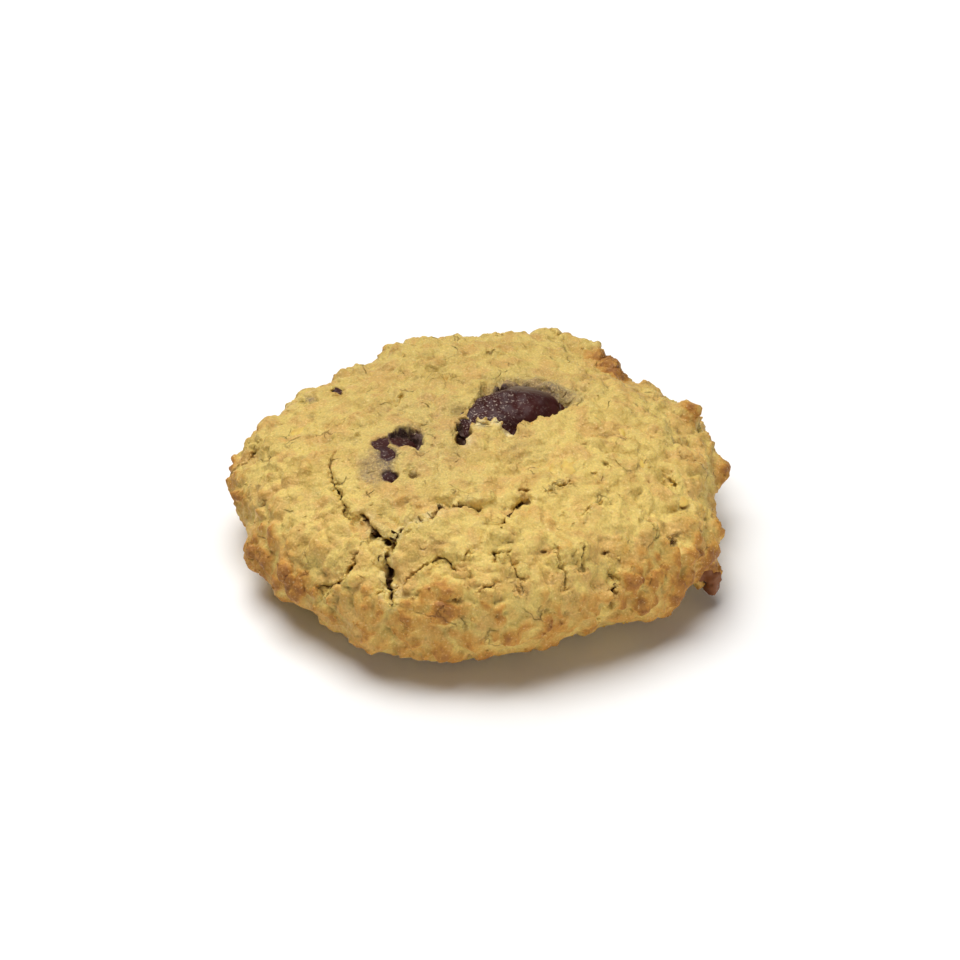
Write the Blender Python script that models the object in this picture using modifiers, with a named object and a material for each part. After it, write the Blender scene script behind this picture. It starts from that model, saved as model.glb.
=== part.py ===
"""A cranberry drop cookie: one craggy baked mound of oat dough, with four dried cranberries showing.

Metres, +Z up. The origin lies on the surface that the cookie rests on, under the middle of its outline.
A place on the cookie is given as a spot: a compass azimuth, anticlockwise from +X, and a latitude that
runs from 90 at the top through 0 on the widest line to -90 under the base.
"""

import math
from collections import namedtuple

import bpy
import numpy as np
from mathutils import Euler, Matrix, Vector, noise

MM = 0.001

# The plain mound: what a spoonful of dough bakes to before its crags are counted. Millimetres.
HEIGHT = 21.2
RIM_HEIGHT = 8.2
TOP_FULLNESS = 2.3
BASE_FULLNESS = 2.7
EDGE_REACH = (35.2, 37.2, 33.6, 36.4, 35.6, 33.2, 31.0, 32.0, 33.8, 32.8, 33.2, 36.2, 35.8, 36.0, 37.2, 37.4)
# The round underside would reach this far below the tray if it had not settled flat on it.
SETTLED = 0.9
FLAT_WITHIN = 0.2

# How finely the mound is shaped, and how many triangles the finished crust keeps.
BLANK_SUBDIVISIONS = 7
SKIN_DETAIL = 0.5
CRUST_TRIANGLES = 7900

# Uneven dough, from broad swells down to oat-sized knobs: size and rise in millimetres.
SWELL_SIZE, SWELL_RISE = 13.0, 1.1
KNOB_SIZE, KNOB_RISE = 5.2, 0.95
GRAIN_SIZE, GRAIN_RISE = 2.4, 0.38
TOP_CALM = 0.5
# The crust is fully rough below the first of these heights, and calm above the second.
FLANK_HEIGHTS = (14.0, 20.0)
# All relief fades out between these heights, so that the foot stays flat on the tray.
FOOT_HEIGHTS = (0.0, 3.5)
# Smooth up to the first distance from the middle of a berry, and rough again from the second, in its half lengths.
CALM_OVER_FRUIT = (0.6, 1.7)
# What makes torn edges ragged: a push in millimetres, and how many times it changes in a millimetre.
RAGGED_PUSHES = ((0.55, 0.42), (0.3, 1.15))
# A crack fades in over this share of its route at each end, and its lips reach this many crack widths.
CRACK_FADE = (-0.12, 0.15)
LIP_REACH = 4.5
# A window falls to its full depth between these shares of its half size, from the outside in.
WINDOW_EDGE = (0.75, 1.2)

Lump = namedtuple("Lump", "azimuth latitude radius rise")
Crack = namedtuple("Crack", "route width depth lip")
Window = namedtuple("Window", "x y length breadth turn depth")
Berry = namedtuple("Berry", "name x y z half_sizes yaw pitch roll triangles")

LUMPS = (
    # Plates of crust that lifted as the cookie split, on the side that faces -Y.
    Lump(-96, 42, 6.5, 1.1),
    Lump(-111, 15, 6.5, 1.0),
    Lump(-90, 19, 7.5, 0.9),
    Lump(-116, 30, 3.2, 1.1),
    Lump(-72, 38, 6.0, 0.8),
    Lump(-87, -6, 9.0, 0.9),
    # Browned knobs low on the left and right of that side.
    Lump(-139, 8, 3.6, 1.3),
    Lump(-150, -2, 3.2, 1.2),
    Lump(-141, -10, 2.3, 1.6),
    Lump(-132, -3, 2.6, 1.4),
    Lump(-157, -9, 2.6, 1.3),
    Lump(-31, 19, 2.6, 1.3),
    Lump(-42, 31, 3.6, 0.8),
    Lump(-44, -5, 5.2, 1.1),
    Lump(-22, 4, 3.0, 1.3),
    # Nubs and crags that stand out from the rim.
    Lump(18, 27, 1.5, 2.2),
    Lump(6, 1, 1.9, 2.3),
    Lump(66, 22, 3.0, 2.3),
    Lump(58, 21, 2.4, 2.6),
    Lump(72, 30, 7.0, 1.0),
    Lump(171, 2, 3.0, 1.3),
    Lump(140, 5, 4.2, 1.6),
    Lump(112, 6, 5.0, 1.2),
    Lump(84, 2, 4.0, 1.8),
    Lump(28, -2, 3.4, 1.5),
    # Hollows in the top, where the dough slumped beside the fruit.
    Lump(-167, 86, 2.2, -1.0),
    Lump(80, 63, 1.3, -1.2),
    Lump(-118, 66, 1.0, -1.0),
    Lump(-160, 62, 5.0, -0.7),
    Lump(-112, 66, 5.5, -0.6),
)

CRACKS = (
    # One long split round the fruit on the left, then along the front of the top.
    Crack(((-160, 56), (-152, 51), (-147, 48), (-140, 46), (-134, 43), (-129, 41)), 0.55, 1.1, 0.2),
    Crack(((-129, 41), (-125, 43), (-118, 40), (-114, 40), (-110, 39)), 0.75, 1.7, 0.3),
    Crack(((-110, 39), (-109, 44), (-106, 50), (-102, 54), (-95, 57), (-90, 56), (-83, 53)), 0.75, 1.6, -0.6),
    Crack(((-81, 46), (-78, 49), (-76, 52), (-72, 55), (-69, 56)), 0.85, 1.8, -0.5),
    # Splits that run down the front.
    Crack(((-110, 39), (-111, 33), (-110, 28), (-108, 24), (-108, 17)), 0.85, 2.3, 0.3),
    Crack(((-119, 30), (-118, 26), (-120, 20), (-122, 12), (-126, 5)), 0.65, 1.3, 0.4),
    Crack(((-106, 24), (-104, 28), (-101, 33), (-98, 36), (-95, 33), (-92, 32)), 0.6, 1.1, 0.5),
    Crack(((-85, 39), (-80, 37), (-79, 31), (-78, 24)), 0.55, 1.0, 0.3),
    Crack(((-68, 37), (-68, 29), (-67, 23), (-68, 16)), 0.55, 1.1, 0.2),
    Crack(((-54, 31), (-55, 25), (-56, 14), (-58, 2)), 0.65, 1.3, 0.3),
    Crack(((-39, 20), (-34, 18)), 0.8, 1.3, 0.2),
    Crack(((-20, 42), (-24, 36)), 0.7, 1.3, 0.2),
    # The far side has cracked in the same way.
    Crack(((38, 52), (45, 46), (52, 44), (60, 37), (61, 28)), 0.65, 1.4, 0.4),
    Crack(((88, 49), (96, 46), (103, 47), (110, 40), (112, 30), (118, 20)), 0.75, 1.7, 0.4),
    Crack(((128, 38), (134, 30), (137, 20), (135, 8)), 0.65, 1.4, 0.3),
    Crack(((10, 34), (4, 27), (6, 18), (2, 9)), 0.6, 1.2, 0.3),
    Crack(((176, 36), (-178, 27), (179, 16)), 0.6, 1.3, 0.3),
)

# Where the dough gapes over the fruit: a plan place and size in millimetres, turned by degrees.
WINDOWS = (
    Window(5.5, 1.0, 13.5, 6.8, 29, 1.9),
    Window(5.7, -4.2, 2.2, 3.4, 0, 1.7),
    Window(-1.2, -5.6, 1.3, 4.8, -8, 1.6),
    Window(-10.3, -6.0, 6.8, 2.0, 9, 2.3),
    Window(-11.3, -9.5, 2.3, 2.3, 0, 1.2),
    Window(-11.0, -14.3, 1.9, 1.6, 0, 1.7),
    Window(-19.5, 10.0, 3.4, 1.2, 24, 1.6),
    Window(-23.6, 9.3, 1.4, 1.2, 0, 1.3),
)

BERRIES = (
    Berry("cranberry_middle", 5.7, 2.1, 17.6, (8.6, 5.5, 4.1), 28, 0, 8, 620),
    Berry("cranberry_left", -11.5, -9.4, 16.7, (5.0, 6.6, 3.3), -10, 3, 8, 460),
    Berry("cranberry_back", -21.3, 9.9, 15.3, (4.6, 2.8, 2.4), 18, -14, 0, 300),
    Berry("cranberry_rim", 32.9, -15.9, 4.7, (3.3, 1.7, 1.6), -27, 60, 0, 260),
)
BERRY_GAP = 0.32
# Wrinkles: their spacing in millimetres, their depth as a share of the berry's half height, and how the noise is
# levelled and steepened into narrow valleys.
WRINKLE_SIZE, WRINKLE_DEPTH = 2.6, 0.09
WRINKLE_LEVEL, WRINKLE_STEEPNESS = 1.2, 3

# Rolled oats that show on the crust: how many, and their sizes and the space they keep, in millimetres.
OAT_COUNT = 16
OAT_RADIUS = (1.7, 2.6)
OAT_NARROWING = 0.78
OAT_THICKNESS = 0.55
OAT_LATITUDES = (8, 72)
OAT_SPACING = 8
OAT_TO_FRUIT = 4
OAT_SEED = 11


def clear_scene():
    """Remove whatever the scene holds, so that only the cookie is in it."""
    for obj in list(bpy.data.objects):
        bpy.data.objects.remove(obj)


def make_collection(name):
    collection = bpy.data.collections.new(name)
    bpy.context.scene.collection.children.link(collection)
    return collection


def make_material(name, colour, roughness):
    """A Principled material of one colour, given as linear red, green and blue."""
    material = bpy.data.materials.new(name)
    material.use_nodes = True
    shader = material.node_tree.nodes["Principled BSDF"]
    shader.inputs["Base Color"].default_value = (*colour, 1)
    shader.inputs["Roughness"].default_value = roughness
    shader.inputs["Metallic"].default_value = 0
    return material


def move_to(collection, obj):
    """Keep the object in this collection alone."""
    for holder in list(obj.users_collection):
        holder.objects.unlink(obj)
    collection.objects.link(obj)


def edge_reach(azimuth):
    """How far the edge lies from the middle at this azimuth in degrees, on a smooth closed curve."""
    step = 360 / len(EDGE_REACH)
    place = (azimuth % 360) / step
    first = int(place)
    t = place - first
    a, b, c, d = (EDGE_REACH[(first + k) % len(EDGE_REACH)] for k in (-1, 0, 1, 2))
    return b + 0.5 * t * (c - a + t * (2 * a - 5 * b + 4 * c - d + t * (3 * (b - c) + d - a)))


def mound_point(azimuth, latitude):
    """The point of the plain mound at a spot, in millimetres."""
    rise = abs(math.sin(math.radians(latitude)))
    run = math.cos(math.radians(latitude))
    fullness = TOP_FULLNESS if latitude >= 0 else BASE_FULLNESS
    reach = edge_reach(azimuth) * run ** (2 / fullness)
    if latitude >= 0:
        z = RIM_HEIGHT + (HEIGHT - RIM_HEIGHT) * rise ** (2 / fullness)
    else:
        z = RIM_HEIGHT - (RIM_HEIGHT + SETTLED) * rise ** (2 / fullness)
    turn = math.radians(azimuth)
    return Vector((reach * math.cos(turn), reach * math.sin(turn), z))


def spot_of(direction):
    """The azimuth and latitude of a direction from the middle of the blank sphere."""
    flat = math.hypot(direction.x, direction.y)
    return math.degrees(math.atan2(direction.y, direction.x)), math.degrees(math.atan2(direction.z, flat))


def noise_at(points, size, seed, octaves=3):
    """Fractal noise from about -1 to 1 at each point, with swells of this size in millimetres."""
    shift = Vector((17.3 * seed, -9.1 * seed, 5.7 * seed))
    return np.array([noise.fractal(Vector(p) / size + shift, 1.0, 2.1, octaves) for p in points])


def jittered(points):
    """The points, each pushed about by up to a millimetre, so that what is measured from them is ragged."""
    pushed = points.copy()
    for push, rate in RAGGED_PUSHES:
        pushed += np.array([push * noise.noise_vector(Vector(p) * rate) for p in points])
    return pushed


def smooth_step(low, high, values):
    """0 below low, 1 above high, and a smooth ramp between."""
    t = np.clip((values - low) / (high - low), 0, 1)
    return t * t * (3 - 2 * t)


def crack_relief(points, normals, crack):
    """The height that one crack takes away along its route, with one lip raised and the other lowered."""
    route = np.array([mound_point(*spot) for spot in crack.route])
    nearest = np.full(len(points), np.inf)
    side = np.zeros(len(points))
    along = np.zeros(len(points))
    for number, (start, end) in enumerate(zip(route[:-1], route[1:])):
        run = end - start
        t = np.clip((points - start) @ run / (run @ run), 0, 1)
        away = points - (start + t[:, None] * run)
        distance = np.linalg.norm(away, axis=1)
        closer = distance < nearest
        nearest[closer] = distance[closer]
        turned = np.einsum("ij,ij->i", np.cross(run, away), normals)
        side[closer] = np.sign(turned)[closer]
        along[closer] = ((number + t) / (len(route) - 1))[closer]
    taper = smooth_step(*CRACK_FADE, along) * smooth_step(*CRACK_FADE, 1 - along)
    inside = np.exp(-((nearest / crack.width) ** 2))
    lip = side * np.exp(-((nearest / (LIP_REACH * crack.width)) ** 2)) * (1 - inside)
    return (crack.lip * lip - crack.depth * inside) * taper


def lump_relief(points, lump):
    """The height that one rounded lump or hollow adds."""
    distance = np.linalg.norm(points - np.array(mound_point(lump.azimuth, lump.latitude)), axis=1)
    return lump.rise * np.exp(-((distance / lump.radius) ** 2))


def window_relief(points, window):
    """The dough missing from a ragged oval gap over the fruit."""
    turn = math.radians(window.turn)
    x, y = points[:, 0] - window.x, points[:, 1] - window.y
    along = (x * math.cos(turn) + y * math.sin(turn)) / (window.length / 2)
    across = (y * math.cos(turn) - x * math.sin(turn)) / (window.breadth / 2)
    inside = 1 - smooth_step(*WINDOW_EDGE, np.hypot(along, across))
    return -window.depth * inside * (points[:, 2] > RIM_HEIGHT)


def crust_relief(points, normals):
    """How far each point of the plain mound moves out along its normal. The dough lies calm over fruit."""
    flank = 1 - smooth_step(*FLANK_HEIGHTS, points[:, 2])
    rough = TOP_CALM + (1 - TOP_CALM) * flank
    relief = SWELL_RISE * noise_at(points, SWELL_SIZE, 1)
    relief += KNOB_RISE * rough * noise_at(points, KNOB_SIZE, 2)
    relief += GRAIN_RISE * rough * noise_at(points, GRAIN_SIZE, 3, octaves=2)
    for berry in BERRIES:
        distance = np.linalg.norm(points - np.array((berry.x, berry.y, berry.z)), axis=1)
        relief *= smooth_step(*CALM_OVER_FRUIT, distance / max(berry.half_sizes))
    for lump in LUMPS:
        relief += lump_relief(points, lump)
    ragged = jittered(points)
    for crack in CRACKS:
        relief += crack_relief(ragged, normals, crack)
    gaps = np.zeros(len(points))
    for window in WINDOWS:
        gaps = np.minimum(gaps, window_relief(ragged, window))
    return relief + gaps


def mesh_points(mesh):
    points = np.empty(len(mesh.vertices) * 3)
    mesh.vertices.foreach_get("co", points)
    return points.reshape(-1, 3)


def apply_modifiers(obj):
    """Turn what the modifiers make into the object's own mesh."""
    bpy.context.view_layer.update()
    graph = bpy.context.evaluated_depsgraph_get()
    mesh = bpy.data.meshes.new_from_object(obj.evaluated_get(graph))
    obj.modifiers.clear()
    obj.data = mesh


def make_blank(collection):
    """The plain mound: a fine sphere drawn out to the cookie's edge and height. In millimetres."""
    bpy.ops.mesh.primitive_ico_sphere_add(subdivisions=BLANK_SUBDIVISIONS, radius=1)
    blank = bpy.context.object
    move_to(collection, blank)
    for vertex in blank.data.vertices:
        vertex.co = mound_point(*spot_of(vertex.co))
    blank.data.update()
    return blank


def shape_crust(crust):
    """Raise the crags, open the cracks and settle the base flat, then scale from millimetres to metres."""
    mesh = crust.data
    points = mesh_points(mesh)
    normals = np.empty(len(points) * 3)
    mesh.vertices.foreach_get("normal", normals)
    normals = normals.reshape(-1, 3)
    above_foot = smooth_step(*FOOT_HEIGHTS, points[:, 2])
    moved = points + normals * (crust_relief(points, normals) * above_foot)[:, None]
    moved[:, 2] = np.maximum(moved[:, 2], 0)
    mesh.vertices.foreach_set("co", (moved * MM).ravel())
    mesh.update()


def make_one_skin(obj):
    """Wrap the shape in one closed skin with no folds, where steep crags and cracks had pushed into each other."""
    modifier = obj.modifiers.new("one_skin", "REMESH")
    modifier.mode = "VOXEL"
    modifier.voxel_size = SKIN_DETAIL * MM
    apply_modifiers(obj)


def thin_triangles(obj, wanted):
    """Reduce the mesh to about this many triangles, fewest where it is flat."""
    triangles = sum(len(face.vertices) - 2 for face in obj.data.polygons)
    modifier = obj.modifiers.new("fewer_triangles", "DECIMATE")
    modifier.ratio = wanted / triangles
    apply_modifiers(obj)


def settle_base(crust):
    """Put every corner that lies within a hair of the tray exactly on it, so that the base is one flat face."""
    for vertex in crust.data.vertices:
        if vertex.co.z < FLAT_WITHIN * MM:
            vertex.co.z = 0


def make_berry(collection, berry, grow=0.0, name=None):
    """A dried cranberry: a flattened oval with deep wrinkles, larger all over by grow millimetres."""
    bpy.ops.mesh.primitive_ico_sphere_add(subdivisions=4, radius=1)
    obj = bpy.context.object
    obj.name = name or berry.name
    move_to(collection, obj)
    seed = 3 * BERRIES.index(berry)
    sizes = Vector(berry.half_sizes)
    for vertex in obj.data.vertices:
        outward = vertex.co.normalized()
        point = outward * sizes
        wrinkle = abs(noise.noise(point / WRINKLE_SIZE + Vector((seed, 2 * seed, -seed))))
        valley = WRINKLE_DEPTH * sizes.z * (WRINKLE_LEVEL - WRINKLE_STEEPNESS * wrinkle)
        vertex.co = (point - outward * valley + outward * grow) * MM
    obj.data.update()
    thin_triangles(obj, berry.triangles)
    turn = Euler((math.radians(berry.roll), math.radians(berry.pitch), math.radians(berry.yaw)))
    obj.location = Vector((berry.x, berry.y, berry.z)) * MM
    obj.rotation_euler = turn
    return obj


def oat_spots(crust):
    """Places for the oats that show, spread over the top and flanks and clear of the fruit."""
    rng = np.random.default_rng(OAT_SEED)
    found = []
    while len(found) < OAT_COUNT:
        here = mound_point(rng.uniform(-180, 180), rng.uniform(*OAT_LATITUDES))
        clear_of_fruit = all(
            (here.xy - Vector((berry.x, berry.y))).length > max(berry.half_sizes) + OAT_TO_FRUIT for berry in BERRIES
        )
        if clear_of_fruit and all((here - other).length > OAT_SPACING for other in found):
            found.append(here)
    places = []
    for here in found:
        _, point, normal, _ = crust.closest_point_on_mesh(here * MM)
        places.append((point, normal, rng.uniform(*OAT_RADIUS), rng.uniform(0, math.tau)))
    return places


def make_oat(collection, point, normal, radius, spin):
    """A rolled oat: a flat rounded disc that lies on the crust, half sunk in it."""
    bpy.ops.mesh.primitive_uv_sphere_add(segments=10, ring_count=6, radius=1)
    obj = bpy.context.object
    obj.name = "oat"
    move_to(collection, obj)
    flatten = Matrix.Diagonal((radius * MM, OAT_NARROWING * radius * MM, OAT_THICKNESS * MM, 1))
    upright = normal.to_track_quat("Z", "Y").to_matrix().to_4x4()
    obj.data.transform(Matrix.Translation(point) @ upright @ Matrix.Rotation(spin, 4, "Z") @ flatten)
    return obj


def put_in_order(obj):
    """List the faces and their corners in one fixed order, as a Boolean lists them in another on every run."""
    faces = []
    for face in obj.data.polygons:
        corners = list(face.vertices)
        first = corners.index(min(corners))
        faces.append(corners[first:] + corners[:first])
    ordered = bpy.data.meshes.new(obj.name)
    ordered.from_pydata([vertex.co for vertex in obj.data.vertices], [], sorted(faces))
    obj.data = ordered


def join_all(crust, pieces, operation):
    """Join a collection to the crust, or cut it away, by one Boolean that is then applied.

    MANIFOLD, because EXACT leaves slivers on so rough a shape, and not the same ones on every run.
    """
    modifier = crust.modifiers.new(operation.lower(), "BOOLEAN")
    modifier.operation = operation
    modifier.operand_type = "COLLECTION"
    modifier.collection = pieces
    modifier.solver = "MANIFOLD"
    apply_modifiers(crust)
    put_in_order(crust)
    for obj in list(pieces.objects):
        bpy.data.objects.remove(obj)
    bpy.data.collections.remove(pieces)


def centre_on_origin(objects):
    """Slide everything so that the middle of the cookie's outline stands over the origin."""
    bpy.context.view_layer.update()
    corners = [obj.matrix_world @ Vector(corner) for obj in objects for corner in obj.bound_box]
    middle = [(min(c[k] for c in corners) + max(c[k] for c in corners)) / 2 for k in (0, 1)]
    for obj in objects:
        obj.location -= Vector((*middle, 0))


def main():
    clear_scene()
    cookie = make_collection("cranberry_cookie")
    dough = make_material("baked_oat_dough", (0.68, 0.48, 0.17), 0.85)
    fruit = make_material("dried_cranberry", (0.09, 0.02, 0.02), 0.45)

    crust = make_blank(cookie)
    crust.name = "cookie"
    shape_crust(crust)
    make_one_skin(crust)
    thin_triangles(crust, CRUST_TRIANGLES)
    settle_base(crust)

    oats = make_collection("oats")
    for place in oat_spots(crust):
        make_oat(oats, *place)
    join_all(crust, oats, "UNION")

    sockets = make_collection("sockets")
    for berry in BERRIES:
        make_berry(sockets, berry, grow=BERRY_GAP, name=berry.name + "_socket")
    join_all(crust, sockets, "DIFFERENCE")
    crust.data.materials.append(dough)

    berries = [make_berry(cookie, berry) for berry in BERRIES]
    for obj in berries:
        obj.data.materials.append(fruit)
    centre_on_origin([crust, *berries])


main()
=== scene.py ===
# %% [markdown]
# # Dressing a cranberry cookie
#
# A drop cookie is a spoonful of stiff oat dough that slumps, splits and browns in the oven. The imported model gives
# its mound, its main cracks and its four dried cranberries. This lesson adds what the eye needs close up: crumb,
# torn edges over the fruit, oat flakes, toasted crags and the soft light of a studio table. Sizes and places are in
# millimetres, and MM turns them into Blender's metres.

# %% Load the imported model
import math
from collections import namedtuple

import bpy
import numpy as np
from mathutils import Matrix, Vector, noise
from mathutils.bvhtree import BVHTree
from mathutils.kdtree import KDTree


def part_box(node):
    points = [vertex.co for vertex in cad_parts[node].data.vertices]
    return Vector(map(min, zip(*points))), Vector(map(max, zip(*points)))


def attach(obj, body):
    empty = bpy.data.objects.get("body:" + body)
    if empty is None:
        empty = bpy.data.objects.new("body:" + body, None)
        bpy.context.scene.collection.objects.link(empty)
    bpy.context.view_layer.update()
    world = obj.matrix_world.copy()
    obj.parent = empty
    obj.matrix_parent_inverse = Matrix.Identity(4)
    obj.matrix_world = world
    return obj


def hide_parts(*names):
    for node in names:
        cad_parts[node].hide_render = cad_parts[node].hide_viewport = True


MM = 0.001

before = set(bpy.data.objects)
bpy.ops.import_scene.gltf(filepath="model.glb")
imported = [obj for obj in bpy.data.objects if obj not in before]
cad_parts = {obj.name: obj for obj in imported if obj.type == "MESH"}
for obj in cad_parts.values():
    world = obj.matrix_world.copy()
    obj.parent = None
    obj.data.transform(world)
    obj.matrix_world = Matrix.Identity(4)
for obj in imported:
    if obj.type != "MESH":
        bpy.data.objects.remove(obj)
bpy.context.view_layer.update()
print("nodes:", ", ".join(sorted(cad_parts)))

# %% [markdown]
# ## The camera
#
# A long lens flattens the cookie a little, as in a product shot. The camera comes first, because features below are
# placed by where they fall in its 960 by 960 picture: a ray through that point finds the place on the crust, so each
# one sits on the surface and is right from every side.

# %% Set up the camera
VIEW_ELEVATION = math.radians(33)
VIEW_DISTANCE = 0.42
LOOK_AT = Vector((0, 0, 9.8 * MM))
LENS, SENSOR = 110.25, 36.0
PICTURE = 960

away = Vector((0, -math.cos(VIEW_ELEVATION), math.sin(VIEW_ELEVATION)))
CAMERA_PLACE = LOOK_AT + VIEW_DISTANCE * away
CAMERA_TURN = (-away).to_track_quat("-Z", "Y")
bpy.ops.object.camera_add(location=CAMERA_PLACE, rotation=CAMERA_TURN.to_euler())
camera = bpy.context.object
camera.data.lens = LENS
camera.data.sensor_width = SENSOR
bpy.context.scene.camera = camera
PIXELS_PER_SLOPE = PICTURE * LENS / SENSOR
print("one pixel is", round(VIEW_DISTANCE / PIXELS_PER_SLOPE / MM, 3), "mm on the cookie")


# %% [markdown]
# ## A few hand tools
#
# Blender's operators act on whatever is selected, so one helper selects a single piece first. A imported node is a
# bag of loose triangles that stays as it is, so a piece that replaces it starts from a copy with merged corners.

# %% Select, copy and modify pieces
def select_only(*pieces):
    """Select these pieces alone, with the first one active."""
    bpy.ops.object.select_all(action="DESELECT")
    for piece in pieces:
        piece.select_set(True)
    bpy.context.view_layer.objects.active = pieces[0]


def copy_node(node, name):
    """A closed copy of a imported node, with its corners merged and its faces pointing out."""
    piece = bpy.data.objects.new(name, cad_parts[node].data.copy())
    bpy.context.scene.collection.objects.link(piece)
    piece.data.materials.clear()
    select_only(piece)
    bpy.ops.object.mode_set(mode="EDIT")
    bpy.ops.mesh.select_all(action="SELECT")
    bpy.ops.mesh.remove_doubles(threshold=1e-6)
    bpy.ops.mesh.normals_make_consistent(inside=False)
    bpy.ops.object.mode_set(mode="OBJECT")
    return piece


def apply_modifier(piece, kind, **settings):
    """Add a modifier with its settings and apply it at once."""
    select_only(piece)
    modifier = piece.modifiers.new(kind.title(), kind)
    for setting, value in settings.items():
        setattr(modifier, setting, value)
    bpy.ops.object.modifier_apply(modifier=modifier.name)


# %% [markdown]
# A crust has tens of thousands of corners, so its relief is worked out for all of them at once, in numpy arrays in
# millimetres. These helpers read and write such arrays, and ramps and bells shape everything below.

# %% Meshes as arrays
def corners_of(piece):
    """The corners' places in millimetres, and their normals, as rows of x, y and z."""
    values = np.empty((2, len(piece.data.vertices) * 3))
    for row, kind in zip(values, ("co", "normal")):
        piece.data.vertices.foreach_get(kind, row)
    places, normals = values.reshape(2, -1, 3)
    return places / MM, normals


def move_corners(piece, points):
    """Put the corners at these places in millimetres."""
    piece.data.vertices.foreach_set("co", (points * MM).ravel())
    piece.data.update()


def rebuild(piece, points, faces):
    """Give the piece a new mesh with these corners in millimetres and these faces."""
    mesh = bpy.data.meshes.new(piece.name)
    mesh.from_pydata((points * MM).tolist(), [], faces)
    piece.data = mesh


def paint(piece, name, values):
    """Store a number from 0 to 1 on each corner, for a material to read."""
    layer = piece.data.attributes.new(name, "FLOAT", "POINT")
    layer.data.foreach_set("value", np.clip(values, 0, 1))


def ramp(low, high, values):
    """0 below low, 1 above high, and a smooth slope between."""
    t = np.clip((values - low) / (high - low), 0, 1)
    return t * t * (3 - 2 * t)


def bell(far, radius):
    """1 in the middle, fading smoothly to almost nothing at twice this radius."""
    return np.exp(-((far / radius) ** 2))


def bell_at(places, middle, radius):
    """The same bell for places round a middle."""
    return bell(np.linalg.norm(places - middle, axis=1), radius)


# %% [markdown]
# Three noises make all the unevenness: clouds for uneven dough, clumps for lumps with creases between them, and a
# push that turns whatever is measured from the pushed places ragged, as torn dough is. Blender starts its noise
# vectors from the clock, so a fixed seed keeps every run the same.

# %% Noise in millimetres
NOISE_SEED = 2
noise.seed_set(NOISE_SEED)


def clouds(points, size, seed, octaves=3):
    """Fractal noise from about -1 to 1, with swells of this size in millimetres."""
    shift = np.array((17.3, -9.1, 5.7)) * seed
    return np.array([noise.fractal(place, 1.0, 2.1, octaves) for place in (points / size + shift).tolist()])


def clumps(points, size, seed, crease):
    """1 on rounded clumps of this size and 0 in the creases between them."""
    shift = np.array((3.7, 11.9, -6.1)) * seed
    gaps = []
    for place in (points / size + shift).tolist():
        nearest = noise.voronoi(place)[0]
        gaps.append(nearest[1] - nearest[0])
    return ramp(0, crease, np.array(gaps))


def pushed_about(points, push, size):
    """The places, each pushed up to this far, so that what is measured from them turns ragged."""
    return points + push * np.array([noise.noise_vector(place) for place in (points / size).tolist()])


# %% [markdown]
# ## The crust: one skin over dough and fruit
#
# The dough baked as one skin that stretched thin over the fruit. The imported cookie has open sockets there, so
# slightly swollen copies of the four cranberries fill them, and a voxel remesh wraps everything in one even mesh.
# The skin is then lowered onto the fruit where it is thin and torn away where the fruit shows.

# %% Wrap the skin
FRUIT_PLACES = ("middle", "left", "back", "rim")
SKIN_DETAIL = 0.44
FRUIT_SWELL = 0.75

crust = copy_node("cookie", "crust")
fillings = [copy_node("cranberry_" + place, "filling_" + place) for place in FRUIT_PLACES]
for filling in fillings:
    apply_modifier(filling, "DISPLACE", strength=FRUIT_SWELL * MM, mid_level=0)
select_only(crust, *fillings)
bpy.ops.object.join()
apply_modifier(crust, "REMESH", mode="VOXEL", voxel_size=SKIN_DETAIL * MM)
apply_modifier(crust, "SMOOTH", factor=0.5, iterations=4)
print("skin:", len(crust.data.polygons), "faces")

# %% [markdown]
# Little detail shows on the underside, so most of its corners are merged away to leave more for the top.

# %% Thin the underside
FACES_DOWN = -0.45
UNDERSIDE_KEPT = 0.25

under = corners_of(crust)[1][:, 2] < FACES_DOWN
underside = crust.vertex_groups.new(name="underside")
underside.add(np.flatnonzero(under).tolist(), 1.0, "REPLACE")
apply_modifier(crust, "DECIMATE", ratio=1 - (1 - UNDERSIDE_KEPT) * under.mean(), vertex_group="underside")
crust.vertex_groups.clear()
print("underside was", round(100 * under.mean()), "% of the skin, now", len(crust.data.polygons), "faces")


# %% [markdown]
# ## Finding places on the crust
#
# A place on the side that faces the camera is named by its picture point. A place elsewhere is named by an azimuth
# and an elevation, seen from the middle of the cookie. Both cast a ray onto the skin.

# %% Cast rays onto the skin
MIDDLE = Vector((0, 0, 8)) * MM


def surface_of(piece):
    """A tree for casting rays onto a piece, as it is now."""
    return BVHTree.FromPolygons(
        [corner.co for corner in piece.data.vertices], [list(face.vertices) for face in piece.data.polygons]
    )


def seen_at(surface, u, v):
    """The place in millimetres that the camera sees at this picture point."""
    slope = Vector((u - PICTURE / 2, PICTURE / 2 - v, -PIXELS_PER_SLOPE))
    place = surface.ray_cast(CAMERA_PLACE, (CAMERA_TURN @ slope).normalized())[0]
    return np.array(place) / MM


def out_from_middle(surface, azimuth, elevation):
    """The place in millimetres where a ray from the middle, at these degrees, leaves the crust."""
    turn, lift = math.radians(azimuth), math.radians(elevation)
    outward = Vector((math.cos(lift) * math.cos(turn), math.cos(lift) * math.sin(turn), math.sin(lift)))
    return np.array(surface.ray_cast(MIDDLE + outward * 0.1, -outward)[0]) / MM


def picture_places(points):
    """Where each place falls in the picture, as columns of u and v."""
    local = (points * MM - np.array(CAMERA_PLACE)) @ np.array(CAMERA_TURN.to_matrix())
    return PICTURE / 2 + PIXELS_PER_SLOPE * local[:, :2] / local[:, 2:] * (-1, 1)


skin = surface_of(crust)
print("top of the cookie:", out_from_middle(skin, 0, 90).round(1))

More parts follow.
